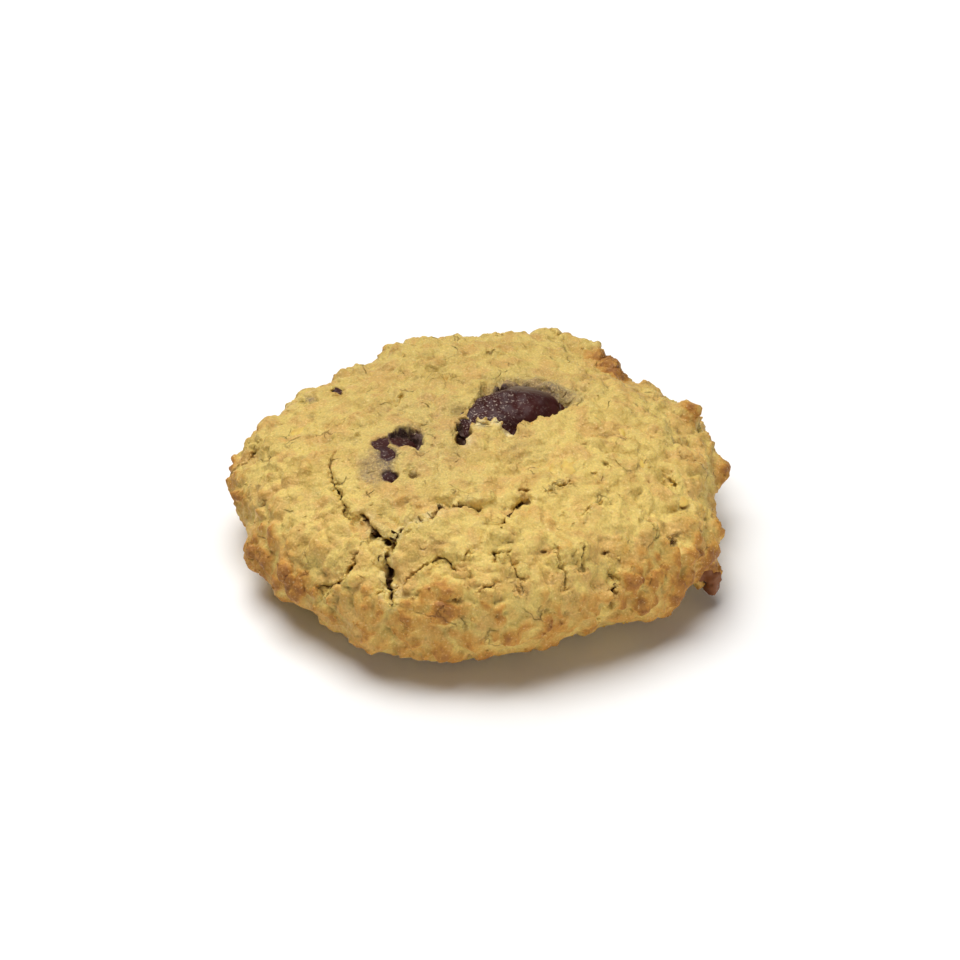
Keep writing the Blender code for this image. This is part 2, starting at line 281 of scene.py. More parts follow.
# %% [markdown]
# ## Cracks and pits
#
# The outside set before the middle had finished rising, so it split. The widest split runs round the fruit on the
# left and down the front. Each crack is a width, a depth and a route across the crust. Pits are where a bubble or a
# crumb broke away.

# %% Name the cracks in the picture
Crack = namedtuple("Crack", "width depth route")
FRONT_CRACKS = [Crack(width, depth, route) for width, depth, *route in (
    (0.18, 0.8, (335, 451), (330, 466), (330, 478), (340, 497), (344, 511), (351, 522)),
    (0.36, 1.15, (359, 516), (367, 520), (372, 529), (376, 535), (385, 540), (396, 547)),
    (0.36, 1.3, (396, 547), (399, 534), (412, 525), (429, 516), (439, 510)),
    (0.34, 1.15, (439, 510), (451, 506), (464, 504), (480, 510)),
    (0.28, 0.9, (529, 498), (519, 504), (515, 512), (508, 522), (501, 531)),
    (0.36, 1.3, (396, 545), (391, 553), (387, 566), (389, 577), (391, 591), (389, 602)),
    (0.25, 1.2, (391, 586), (397, 586)),
    (0.26, 1.0, (357, 554), (356, 564), (347, 577), (333, 585), (319, 588)),
    (0.22, 0.7, (320, 588), (320, 598)),
    (0.22, 0.7, (377, 594), (384, 590)),
    (0.2, 0.6, (403, 583), (410, 576), (422, 569), (437, 560), (447, 562), (458, 570), (467, 570)),
    (0.2, 0.7, (471, 549), (467, 556), (463, 561)),
    (0.19, 0.7, (493, 562), (493, 553), (509, 554)),
    (0.17, 0.6, (509, 557), (515, 570), (524, 583)),
    (0.26, 0.9, (480, 592), (488, 587), (497, 582)),
    (0.22, 0.8, (518, 588), (521, 593)),
    (0.17, 0.6, (556, 547), (557, 556), (564, 572), (566, 591)),
    (0.2, 0.7, (584, 541), (582, 560), (586, 572)),
    (0.2, 0.8, (611, 574), (616, 584), (610, 594), (609, 606)),
    (0.34, 0.5, (664, 470), (669, 477), (676, 489)),
    (0.2, 0.6, (650, 524), (651, 533)),
    (0.18, 0.5, (581, 513), (594, 505), (603, 501)),
    (0.2, 0.6, (519, 490), (531, 490)),
    (0.2, 0.6, (541, 491), (552, 488)),
    (0.24, 0.7, (552, 484), (561, 485), (571, 480)),
    (0.16, 0.4, (403, 394), (398, 400)),
    (0.16, 0.35, (441, 378), (452, 377)),
)]
print(len(FRONT_CRACKS), "cracks face the camera")

# %% [markdown]
# The sides that face away split in the same way. These routes are azimuths and elevations in degrees, along the
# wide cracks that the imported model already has.

# %% Name the cracks on the far side
FAR_CRACKS = [Crack(width, depth, route) for width, depth, *route in (
    (0.34, 1.3, (60, 11), (61, 6), (58, 0)),
    (0.38, 1.6, (112, 6), (118, 1), (116, -5)),
    (0.32, 1.2, (134, 12), (137, 6), (135, 0)),
    (0.3, 1.1, (32, 8), (28, 3), (30, -3)),
    (0.28, 1.0, (176, 12), (180, 6), (178, 0)),
    (0.24, 0.8, (70, 14), (78, 8), (86, 10)),
    (0.24, 0.8, (152, 12), (160, 5), (163, -4)),
    (0.22, 0.7, (20, 8), (26, 2), (24, -6)),
)]
print(len(FAR_CRACKS), "cracks face away")

# %% [markdown]
# The pits that catch the eye are listed one by one, and so are the crags and browned places further on.

# %% Name the larger pits
Spot = namedtuple("Spot", "place radius amount")


def spots(*rows):
    """A spot for each row: its picture point, its radius in millimetres, and how deep, high or strong it is."""
    return [Spot((u, v), radius, amount) for u, v, radius, amount in rows]


PITS = spots(
    (492, 353, 0.75, 0.8), (414, 473, 0.7, 1.4), (371, 501, 0.3, 0.8), (457, 412, 1.4, 0.6), (585, 443, 0.45, 0.7),
    (608, 462, 0.4, 0.6), (595, 472, 0.35, 0.5), (607, 487, 0.35, 0.6), (620, 496, 0.35, 0.6), (654, 435, 0.35, 0.5),
    (578, 387, 0.25, 0.4), (564, 512, 0.3, 0.6), (434, 443, 0.3, 0.4), (356, 436, 0.25, 0.4), (546, 551, 0.35, 1.1),
    (608, 554, 0.4, 1.2), (674, 542, 0.75, 1.0), (513, 534, 0.3, 0.6), (456, 601, 0.3, 0.6), (374, 534, 0.5, 1.3),
    (340, 498, 0.35, 0.8), (612, 593, 0.4, 0.9), (485, 372, 0.3, 0.4), (403, 354, 0.5, 0.4),
)
print(len(PITS), "larger pits")

# %% [markdown]
# ## Finer mesh where it is needed
#
# A crack is thinner than one face of the skin, so the mesh has to be finer along it. First each route is laid on
# the skin, in steps short enough to follow every swell.

# %% Turn the names into routes on the skin
ROUTE_STEP = 4


def stepped(route):
    """The route with extra points, so that no run is longer than a few pixels or degrees."""
    steps = [np.array(route[0], float)]
    for start, end in zip(np.array(route[:-1], float), np.array(route[1:], float)):
        count = math.ceil(np.linalg.norm(end - start) / ROUTE_STEP)
        steps += [start + (end - start) * (k + 1) / count for k in range(count)]
    return steps


crack_routes = []
for cracks, find in ((FRONT_CRACKS, seen_at), (FAR_CRACKS, out_from_middle)):
    for crack in cracks:
        crack_routes.append((np.array([find(skin, *point) for point in stepped(crack.route)]), crack))
pit_places = [(seen_at(skin, *pit.place), pit.radius, pit.amount) for pit in PITS]


def distance_to_run(places, start, end):
    """How far each place lies from a straight run."""
    run = end - start
    t = np.clip((places - start) @ run / (run @ run), 0, 1)
    return np.linalg.norm(places - start - t[:, None] * run, axis=1)


def distance_to_route(points, route, reach=4.0):
    """How far each place lies from a route of straight runs, or infinity beyond reach."""
    far = np.full(len(points), np.inf)
    nearby = np.all((points > route.min(axis=0) - reach) & (points < route.max(axis=0) + reach), axis=1)
    for start, end in zip(route[:-1], route[1:]):
        far[nearby] = np.minimum(far[nearby], distance_to_run(points[nearby], start, end))
    return far


print(len(crack_routes), "routes and", len(pit_places), "pits on the skin")

# %% [markdown]
# Two rounds of subdivision follow, the second closer to the cracks and pits. The first also takes in the thin skin
# over the fruit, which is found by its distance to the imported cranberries.

# %% Subdivide along cracks, in pits and round the fruit
FINE_BESIDE_CRACK = (1.0, 0.5)
FINE_OVER_FRUIT = 1.8


def near_a_feature(points, reach):
    """True for places within reach of a crack or a pit."""
    near = np.zeros(len(points), bool)
    for route, crack in crack_routes:
        near |= distance_to_route(points, route) < reach
    for place, radius, depth in pit_places:
        near |= np.linalg.norm(points - place, axis=1) < radius + reach / 2
    return near


def subdivide(piece, wanted):
    """Cut each face in four whose corners are all wanted."""
    select_only(piece)
    bpy.ops.object.mode_set(mode="EDIT")
    bpy.ops.mesh.select_all(action="DESELECT")
    bpy.ops.object.mode_set(mode="OBJECT")
    for face in piece.data.polygons:
        face.select = all(wanted[corner] for corner in face.vertices)
    bpy.ops.object.mode_set(mode="EDIT")
    bpy.ops.mesh.subdivide(number_cuts=1)
    bpy.ops.object.mode_set(mode="OBJECT")


fruit_surface = {place: surface_of(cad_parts["cranberry_" + place]) for place in FRUIT_PLACES}


def thickness_over(place, points, reach):
    """How far each place stands above this cranberry, and the fruit's way up there. Infinite beyond reach."""
    above = np.full(len(points), np.inf)
    ups = np.zeros((len(points), 3))
    low, high = (np.array(corner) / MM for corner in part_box("cranberry_" + place))
    nearby = np.all((points > low - reach) & (points < high + reach), axis=1)
    for number in np.flatnonzero(nearby):
        foot_point, up, _, far = fruit_surface[place].find_nearest(Vector(points[number]) * MM, reach * MM)
        if foot_point is not None:
            side = 1 if (Vector(points[number]) * MM - foot_point).dot(up) > 0 else -1
            above[number], ups[number] = side * far / MM, up
    return above, ups


for reach in FINE_BESIDE_CRACK:
    points = corners_of(crust)[0]
    fine = near_a_feature(points, reach)
    if reach == FINE_BESIDE_CRACK[0]:
        for place in FRUIT_PLACES:
            fine |= thickness_over(place, points, FINE_OVER_FRUIT)[0] < FINE_OVER_FRUIT
    subdivide(crust, fine)
    print("within", reach, "mm:", len(crust.data.polygons), "faces")

# %% [markdown]
# ## The crumb
#
# Stiff dough keeps the lumps it was spooned with, 2 to 4 mm across with narrow creases between. Voronoi clumps give
# the lumps, and fractal noise gives the uneven dough, its small hollows and its grain, which is crisper on the
# flanks. Fine wrinkles run where another noise crosses zero. Over the fruit the skin is stretched smooth.

# %% Raise clumps and grain
LUMP_SIZE, LUMP_CREASE, LUMP_RISE = 4.0, 0.45, 1.25
CRUMB_SIZE, CRUMB_CREASE, CRUMB_RISE = 2.2, 0.5, 0.5
GRAIN_SIZE, GRAIN_RISE = 1.1, 0.13
WRINKLE_SPACING, WRINKLE_VALLEY, WRINKLE_FLOOR, WRINKLE_PATCH = 5.0, 0.3, 0.09, 8
HOLLOW_SIZE, HOLLOW_DEPTH = 1.9, 0.35
CREASE_LEVEL = 0.4
TOP_SHARE = 0.9
FLANK_HEIGHTS = (13.0, 18.5)
FOOT_HEIGHTS = (0.3, 4.0)
FRUIT_REACH = 3.5
CALM_OVER_FRUIT, CALM_SHARE = (1.0, 3.2), 0.18

points, normals = corners_of(crust)
unmoved, unmoved_normals = points.copy(), normals.copy()
flank = 1 - ramp(*FLANK_HEIGHTS, points[:, 2])
rough = TOP_SHARE + (1 - TOP_SHARE) * flank
calm = np.ones(len(points))
for place in FRUIT_PLACES:
    far = np.abs(thickness_over(place, points, FRUIT_REACH)[0])
    calm = np.minimum(calm, CALM_SHARE + (1 - CALM_SHARE) * ramp(*CALM_OVER_FRUIT, far))

warped = pushed_about(points, 1.4, 3.0)
lumps = clumps(warped, LUMP_SIZE, 1, LUMP_CREASE) * (0.55 + 0.45 * clouds(points, 7, 2))
crumb = clumps(pushed_about(points, 0.9, 1.6), CRUMB_SIZE, 3, CRUMB_CREASE) * (0.6 + 0.6 * clouds(points, 4, 4))
grain = clouds(points, GRAIN_SIZE, 5)
wrinkles = 1 - ramp(0, WRINKLE_FLOOR, np.abs(clouds(warped, WRINKLE_SPACING, 9, octaves=2)))
wrinkles *= ramp(-0.1, 0.3, clouds(points, WRINKLE_PATCH, 10))
hollows = ramp(0.45, 0.7, clouds(points, HOLLOW_SIZE, 6))
relief = (LUMP_RISE * (lumps - CREASE_LEVEL) + CRUMB_RISE * (crumb - CREASE_LEVEL)) * rough
relief += GRAIN_RISE * (1 + flank) * grain - HOLLOW_DEPTH * hollows - WRINKLE_VALLEY * wrinkles
print("relief from", relief.min().round(2), "to", relief.max().round(2), "mm")

# %% [markdown]
# Rolled oats lie just under the surface and show as faint tilted plates. Each is an ellipse on the skin with one
# edge standing proud and the other sunk.

# %% Lay oat plates under the surface
PLATE_COUNT = 420
PLATE_RADIUS = (1.0, 2.4)
PLATE_NARROWNESS = (0.55, 0.8)
PLATE_RISE = (0.16, 0.42)
PLATE_EDGE = (0.78, 0.96)
PLATE_NOTCHES, NOTCH_DEPTH = 9, 0.12

skin_tree = KDTree(len(points))
for number, place in enumerate(points):
    skin_tree.insert(place, number)
skin_tree.balance()

rng = np.random.default_rng(3)
for number in rng.choice(len(points), PLATE_COUNT, replace=False):
    radius, rise, narrow = (rng.uniform(*limits) for limits in (PLATE_RADIUS, PLATE_RISE, PLATE_NARROWNESS))
    lengthwise = np.cross(normals[number], rng.normal(size=3))
    lengthwise /= np.linalg.norm(lengthwise)
    crosswise = np.cross(normals[number], lengthwise)
    under = np.array([found for _, found, _ in skin_tree.find_range(points[number], radius)])
    offset = points[under] - points[number]
    along, across = offset @ lengthwise / radius, offset @ crosswise / (radius * narrow)
    edge = np.hypot(along, across) + NOTCH_DEPTH * np.sin(PLATE_NOTCHES * np.arctan2(across, along) + number)
    relief[under] += rise * (1 - ramp(*PLATE_EDGE, edge)) * (0.5 + 0.6 * along)
print(PLATE_COUNT, "oat plates")

# %% [markdown]
# All the relief fades out over the fruit and at the foot.

# %% Move the skin
relief *= calm * ramp(*FOOT_HEIGHTS, points[:, 2])
points += normals * relief[:, None]
move_corners(crust, points)
print("relief is", np.abs(relief).mean().round(2), "mm on average")

# %% [markdown]
# Some crags and torn teeth of dough stand out more than chance gives them: the browned crag at the back right, the
# nubs on the rim and the teeth over the middle cranberry. Noise breaks each one up, as dough has no smooth knobs.

# %% Raise crags and teeth
CRAGS = spots(
    (489, 423, 1.3, 0.6), (478, 425, 1.0, 0.6), (498, 424, 0.9, 0.5), (471, 436, 0.7, 0.5), (600, 361, 1.9, 1.6),
    (612, 369, 1.8, 1.7), (694, 412, 1.2, 1.0), (723, 474, 1.3, 0.8), (704, 558, 2.4, 0.8), (713, 552, 1.2, 0.6),
    (300, 582, 1.4, 1.0), (285, 574, 1.4, 0.9), (262, 556, 2.0, 0.8), (250, 548, 1.6, 0.8), (436, 586, 3.0, 0.6),
    (264, 424, 1.4, 0.8), (470, 340, 1.8, 0.6), (340, 382, 1.2, 0.6), (650, 392, 1.2, 0.5),
)
CHUNK_SIZE = 1.2

skin = surface_of(crust)
points, normals = corners_of(crust)
jagged = pushed_about(pushed_about(points, 0.7, 1.3), 0.4, 0.5)
chunky = 0.85 + 0.5 * clouds(points, CHUNK_SIZE, 11)
for crag in CRAGS:
    stands = crag.amount * chunky * bell_at(jagged, seen_at(skin, *crag.place), crag.radius)
    points += normals * stands[:, None]
move_corners(crust, points)
print(len(CRAGS), "crags and teeth")

# %% [markdown]
# ## Opening the cracks
#
# A crack is carved as a narrow groove along its route. Distances are measured on the skin as it was before the
# relief, so the crumb doesn't interrupt the groove, and noise pushes the places along the skin first, so both walls
# come out torn. The crust beside a crack is lifted to a low lip. The depths are kept for the dark shade inside.

# %% Carve cracks and pits
TORN_PUSH, TORN_SIZE = 0.45, 1.4
LIP_RISE, LIP_PLACE, LIP_REACH = 0.16, 0.7, 1.2
FRESH_DEPTHS = (0.8, 1.3)
END_SHARE, END_REACH = 0.45, 1.6
PIT_SHARE = 0.6

points, normals = corners_of(crust)
push = pushed_about(pushed_about(unmoved, TORN_PUSH, TORN_SIZE), 0.16, 0.4) - unmoved
torn = unmoved + push - unmoved_normals * np.einsum("ij,ij->i", push, unmoved_normals)[:, None]
width_noise = clouds(unmoved, 2.0, 8)
carved, pitted, lift, fresh = np.zeros((4, len(points)))
for route, crack in crack_routes:
    far = distance_to_route(torn, route)
    ends = np.minimum(np.linalg.norm(unmoved - route[0], axis=1), np.linalg.norm(unmoved - route[-1], axis=1))
    strength = END_SHARE + (1 - END_SHARE) * ramp(0, END_REACH, ends)
    width = crack.width * (0.68 + 0.35 * width_noise)
    carved = np.maximum(carved, bell(far, width) * crack.depth * strength)
    lip = bell(far - LIP_PLACE, LIP_REACH) * strength
    lift = np.maximum(lift, LIP_RISE * lip)
    fresh = np.maximum(fresh, lip * ramp(*FRESH_DEPTHS, crack.depth))
for place, radius, depth in pit_places:
    pitted = np.maximum(pitted, PIT_SHARE * depth * bell_at(torn, place, radius))
points += normals * (lift - np.maximum(carved, pitted))[:, None]
move_corners(crust, points)
print("deepest crack:", carved.max().round(2), "mm")

# %% [markdown]
# ## Where the fruit shows
#
# A swelling cranberry stretched the dough over itself until it tore. Each tear is an outline in the picture. Inside
# it the skin sinks below the fruit, so its cover in millimetres is negative. Around some tears it thins out to a
# film, and the fruit shines through grey. How far an edge slopes and how far juice stains it are in picture pixels.

# %% Draw the tears and the films
Tear = namedtuple("Tear", "fruit cover soft outline tint", defaults=(1,))
TEARS = (
    Tear("middle", -0.7, 4, (
        (468, 414), (475, 401), (485, 390), (500, 383), (522, 384), (542, 388), (557, 395), (569, 399), (560, 406),
        (549, 411), (540, 413), (531, 418), (524, 416), (517, 422), (511, 431), (506, 427), (504, 414), (500, 419),
        (496, 411), (490, 417), (485, 409), (481, 417), (476, 411), (473, 420),
    )),
    Tear("middle", -0.5, 3, ((461, 418), (468, 420), (467, 434), (464, 445), (460, 445), (459, 430)), 2),
    Tear("left", -0.6, 2, (
        (391, 434), (403, 430), (417, 430), (421, 436), (417, 445), (408, 442), (401, 444), (393, 441),
    ), 4),
    Tear("left", -0.5, 2, (
        (370, 443), (379, 438), (388, 436), (389, 446), (395, 451), (394, 456), (388, 459), (382, 455), (381, 448),
        (375, 447),
    ), 2),
    Tear("left", -0.6, 2, ((384, 474), (389, 471), (394, 473), (397, 476), (391, 479), (385, 478)), 3),
    Tear("back", -0.5, 2, ((331, 390), (337, 387), (343, 390), (337, 393))),
    Tear("rim", -0.6, 3, ((702, 577), (713, 573), (724, 575), (733, 578), (732, 594), (711, 600), (699, 595))),
)
FILMS = (
    Tear("middle", 0.12, 7, (
        (477, 398), (485, 382), (502, 369), (530, 365), (562, 370), (592, 382), (606, 396), (585, 404),
    )),
    Tear("middle", 0.35, 4, ((465, 430), (474, 428), (476, 440), (468, 448))),
    Tear("left", 0.2, 9, ((357, 458), (371, 447), (400, 445), (399, 462), (392, 481), (372, 487), (357, 478))),
    Tear("back", 0.1, 4, ((304, 396), (314, 394), (318, 400), (308, 403))),
)
print(len(TEARS), "tears and", len(FILMS), "films")


# %% [markdown]
# A corner lies in a tear if a line from its picture point crosses the outline an odd number of times.

# %% Measure from an outline in the picture
def inside_outline(places, outline):
    """How many pixels each picture place lies inside a closed outline, negative outside it."""
    nearest = np.full(len(places), np.inf)
    inside = np.zeros(len(places), bool)
    corners = np.array(outline, float)
    for start, end in zip(corners, np.roll(corners, -1, axis=0)):
        nearest = np.minimum(nearest, distance_to_run(places, start, end))
        crosses = (start[1] > places[:, 1]) != (end[1] > places[:, 1])
        with np.errstate(divide="ignore", invalid="ignore"):
            reaches = places[:, 0] < start[0] + (end - start)[0] * (places[:, 1] - start[1]) / (end - start)[1]
        inside ^= crosses & reaches
    return np.where(inside, nearest, -nearest)


# %% [markdown]
# Dough that is pulled over a ball gets streaks. Noise laid out by angle and distance from the middle of the fruit,
# and stretched along the angle, gives such arcs.

# %% Streak the film
STREAK_MIDDLE, STREAK_FLATNESS, STREAK_LENGTH, STREAK_SIZE = (530, 420), 1.6, 1.5, 9


def streaks_round_fruit(places):
    """Noise drawn out into arcs round the middle cranberry, as the dough stretched over it."""
    outward = (places - STREAK_MIDDLE) * (1, STREAK_FLATNESS)
    turn = np.arctan2(outward[:, 1], outward[:, 0]) * STREAK_LENGTH
    rings = np.linalg.norm(outward, axis=1) / STREAK_SIZE
    return clouds(np.stack((turn, rings, np.zeros(len(places))), axis=1), 1, 12, octaves=2)


# %% [markdown]
# The skin sinks to the cover that its film or tear asks for, where that is less than it has. A film stays up where
# the skin is thick, or it would leave a trench round the fruit. Two numbers are kept for the colour: the stain of
# fruit behind a film or of juice in the dough, whose radii are in pixels, and how bare the fruit is.

# %% Lower and tear the skin
GAP_TO_DOUGH = 0.3
FILM_DEPTH = (0.7, 1.6)
FILM_SLOPE, TEAR_SLOPE = 2.0, 3.0
FACES_FRUIT = (0.3, 0.7)
JUICES = spots((425, 440, 62, 0.26), (457, 453, 13, 0.36), (520, 445, 25, 0.2), (385, 520, 22, 0.2))

points, normals = corners_of(crust)
ragged = picture_places(pushed_about(pushed_about(points, 0.35, 1.1), 0.18, 0.4))
places = picture_places(points)
streaks = streaks_round_fruit(places)
stain, bare = np.zeros((2, len(points)))
for fruit in FRUIT_PLACES:
    above, ups = thickness_over(fruit, points, FRUIT_REACH)
    agree = np.einsum("ij,ij->i", ups, normals)
    above -= GAP_TO_DOUGH
    veil, tinted = np.zeros((2, len(points)))
    cover = np.full(len(points), FRUIT_REACH)
    edge = np.full(len(points), -np.inf)
    for film in (film for film in FILMS if film.fruit == fruit):
        inside = inside_outline(places, film.outline) / film.soft
        veil = np.maximum(veil, ramp(-0.5, 1.0, inside))
        fade = np.maximum(ramp(-0.3, FILM_SLOPE, -inside), ramp(*FILM_DEPTH, above))
        cover = np.minimum(cover, film.cover + (FRUIT_REACH - film.cover) * fade)
    torn_places = ragged + (places - ragged) * veil[:, None]
    for tear in (tear for tear in TEARS if tear.fruit == fruit):
        inside = inside_outline(torn_places, tear.outline)
        edge = np.maximum(edge, inside)
        tinted = np.maximum(tinted, ramp(-tear.tint, 2 - tear.tint, inside))
        fade = ramp(-0.3, TEAR_SLOPE, -inside / tear.soft)
        cover = np.minimum(cover, tear.cover + (FRUIT_REACH - tear.cover) * fade)
    sink = np.where(np.isfinite(above) & (cover < above), above - cover, 0) * ramp(*FACES_FRUIT, agree)
    points -= normals * sink[:, None]
    veil *= ramp(-0.2, 0.4, agree) * (1 - 0.5 * ramp(1.4, 3.0, above))
    stain = np.maximum(stain, veil)
    bare = np.maximum(bare, veil * ramp(-6, 0, edge) * (1 - ramp(0.5, 1.3, above)))
    bare = np.maximum(bare, tinted * np.isfinite(above))
stain *= 0.95 + 0.5 * streaks
for juice in JUICES:
    soaked = juice.amount * bell_at(places, juice.place, juice.radius)
    stain = np.maximum(stain, soaked * ramp(0.2, 0.7, normals[:, 2]))
move_corners(crust, points)
apply_modifier(crust, "SMOOTH", factor=0.5, iterations=1)
print("stained corners:", int((stain > 0.2).sum()))

# %% [markdown]
# ## Toasted crags and shaded creases
#
# Ovens brown what sticks out: the tops of lumps, the rim and the low flanks that face the hot tray. Comparing the
# crust with a smoothed copy of itself tells what sticks out and what lies in a crease.

# %% Measure what sticks out
points, normals = corners_of(crust)
edges = np.empty(len(crust.data.edges) * 2, np.int64)
crust.data.edges.foreach_get("vertices", edges)
edges = edges.reshape(-1, 2)
neighbours = np.bincount(edges.ravel(), minlength=len(points))


def smoothed(values, rounds):
    """Values averaged with their neighbours this many times over."""
    for _ in range(rounds):
        total = np.zeros_like(values)
        for column in range(values.shape[1]):
            total[:, column] += np.bincount(edges[:, 0], values[edges[:, 1], column], len(values))
            total[:, column] += np.bincount(edges[:, 1], values[edges[:, 0], column], len(values))
        values = 0.5 * values + 0.5 * total / neighbours[:, None]
    return values


FINE_ROUNDS, BROAD_ROUNDS = 12, 120

fine_form = smoothed(points, FINE_ROUNDS)
broad_form = smoothed(fine_form, BROAD_ROUNDS)
stands_fine = np.einsum("ij,ij->i", points - fine_form, normals)
stands_broad = np.einsum("ij,ij->i", fine_form - broad_form, normals)
print("lumps stand", np.percentile(stands_broad, 95).round(2), "mm proud, creases lie",
      -np.percentile(stands_fine, 2).round(2), "mm deep")

# %% [markdown]
# Brown places that the rule would miss are named.

# %% Name the browned places
BROWNED = spots(
    (602, 355, 2.4, 1.5), (615, 367, 2.8, 2.6), (574, 342, 1.4, 0.5), (693, 411, 1.9, 1.3), (723, 473, 1.6, 0.9),
    (262, 556, 4.5, 0.85), (302, 584, 2.0, 1.0), (283, 574, 2.4, 0.9), (338, 620, 1.6, 0.8), (368, 593, 1.4, 0.45),
    (380, 616, 2.4, 0.4), (436, 587, 3.2, 0.75), (449, 547, 3.0, 0.3), (476, 573, 1.2, 0.5), (467, 491, 1.4, 0.4),
    (403, 502, 2.2, 0.35), (565, 544, 2.8, 0.55), (552, 521, 2.6, 0.3), (628, 541, 4.5, 0.35), (652, 585, 4.0, 0.65),
    (579, 488, 1.8, 0.25), (485, 602, 2.6, 0.55), (690, 578, 3.0, 0.8), (410, 630, 3.5, 0.5), (560, 625, 2.6, 0.5),
    (700, 550, 2.4, 0.6), (445, 620, 3.0, 0.5), (628, 590, 2.6, 0.45), (655, 560, 2.6, 0.5), (234, 470, 2.4, 0.7),
    (240, 500, 2.6, 0.6), (712, 568, 2.4, 1.1), (702, 572, 2.4, 0.9),
)
print(len(BROWNED), "browned places")

# %% [markdown]
# The toast adds up: a little for every low or outer part, more for what sticks out there, some by chance in patches
# and flecks, and the named places. The lips of cracks and the torn teeth over the middle cranberry stayed pale. Shade
# is painted into the crust as well: cracks, pits, concave places and hollows are darkened, and so is a dimple beside
# the middle cranberry, where shade falls.

# %% Paint the toast, the painted shade in creases and the stain
TEETH, TOOTH_RADIUS = ((480, 424), (484, 417), (497, 422), (467, 441), (508, 434)), 0.8
DIMPLE, DIMPLE_RADIUS, DIMPLE_SHADE = (458, 411), 1.3, 0.5
PATCH_SIZE, FLECK_SIZE = 3.2, 1.1
LOW_HEIGHTS, FOOT_FADE = (5.0, 14.5), (1.0, 6.0)
RIM_RADII, RIM_HEIGHTS = (28, 36), (12, 18)

skin = surface_of(crust)
patches = clouds(points, PATCH_SIZE, 21)
flecks = clouds(points, FLECK_SIZE, 22)
low = (1 - ramp(*LOW_HEIGHTS, points[:, 2])) * (0.3 + 0.7 * ramp(*FOOT_FADE, points[:, 2]))
rim = ramp(*RIM_RADII, np.hypot(points[:, 0], points[:, 1])) * (1 - ramp(*RIM_HEIGHTS, points[:, 2]))
sticks_out = 0.22 * (lumps - 0.55)
sticks_out += 0.55 * np.clip(stands_broad, -0.5, 0.6) + 0.7 * np.clip(stands_fine, -0.3, 0.4)
toast = 0.16 * (flecks + low) + 0.12 * rim + 0.3 * patches * (0.3 + 0.7 * low)
toast += sticks_out * (0.3 + 0.7 * np.maximum(low, rim))
browning_places = pushed_about(points, 1.2, 2.0)
for spot in BROWNED:
    browned = bell_at(browning_places, seen_at(skin, *spot.place), spot.radius)
    toast += 0.8 * spot.amount * browned * (0.75 + 0.5 * flecks)
toast -= 0.25 * lift / LIP_RISE

pale = 0.4 * ramp(0.5, 1.0, fresh) * ramp(-0.3, 0.3, flecks)
tooth_places = pushed_about(points, 0.4, 0.8)
for tooth in TEETH:
    pale = np.maximum(pale, 0.9 * bell_at(tooth_places, seen_at(skin, *tooth), TOOTH_RADIUS))
# Painted shade: the crease numbers darken cracks, pits, concave places and hollows, where shade falls.
creases = ramp(0.12, 0.8, carved) + 0.65 * ramp(0.08, 0.5, pitted)
creases += 0.12 * ramp(0.1, 0.5, -stands_fine) + 0.3 * hollows
# Painted shade of the dimple beside the middle cranberry.
dimple = bell_at(pushed_about(points, 0.5, 0.9), seen_at(skin, *DIMPLE), DIMPLE_RADIUS)
creases = np.maximum(creases, DIMPLE_SHADE * dimple)
for layer, values in {"toast": toast, "crease": creases, "stain": stain, "bare": bare, "pale": pale}.items():
    paint(crust, layer, values)
print("toast covers", round(100 * float((toast > 0.4).mean())), "% of the crust")

# %% [markdown]
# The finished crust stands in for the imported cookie. It rides on the root, the one body that there is.

# %% Finish the crust
select_only(crust)
bpy.ops.object.shade_smooth()
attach(crust, "root")
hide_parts("cookie")
triangles = sum(len(face.vertices) - 2 for face in crust.data.polygons)
print("crust:", triangles, "triangles")

# %% [markdown]
# ## The dried cranberries
#
# A dried cranberry is a collapsed, leathery skin round sticky flesh, with fine wrinkles on top of the broad ones.
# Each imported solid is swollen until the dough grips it, and remeshed finely enough for the small wrinkles. Sugar
# frosts the upper left of the middle one, and the film of dough goes on over its upper edge as a grey veil. The one
# at the rim is lumpy with a crust of dough.

# %% Wrinkle the cranberries
BERRY_DETAIL = 0.22
BERRY_WRINKLE_SIZE, BERRY_WRINKLE_DEPTH = 1.7, 0.12
BERRY_SWELL = GAP_TO_DOUGH + 0.1
GLAZED = {"middle": 0, "left": 0, "back": 0, "rim": 0.85}
CRUSTED, CRUST_SIZE = 0.9, 1.5
FROST_FROM, FROST_TO, THIN_FROST = np.array((500, 384)), np.array((548, 414)), 0.35

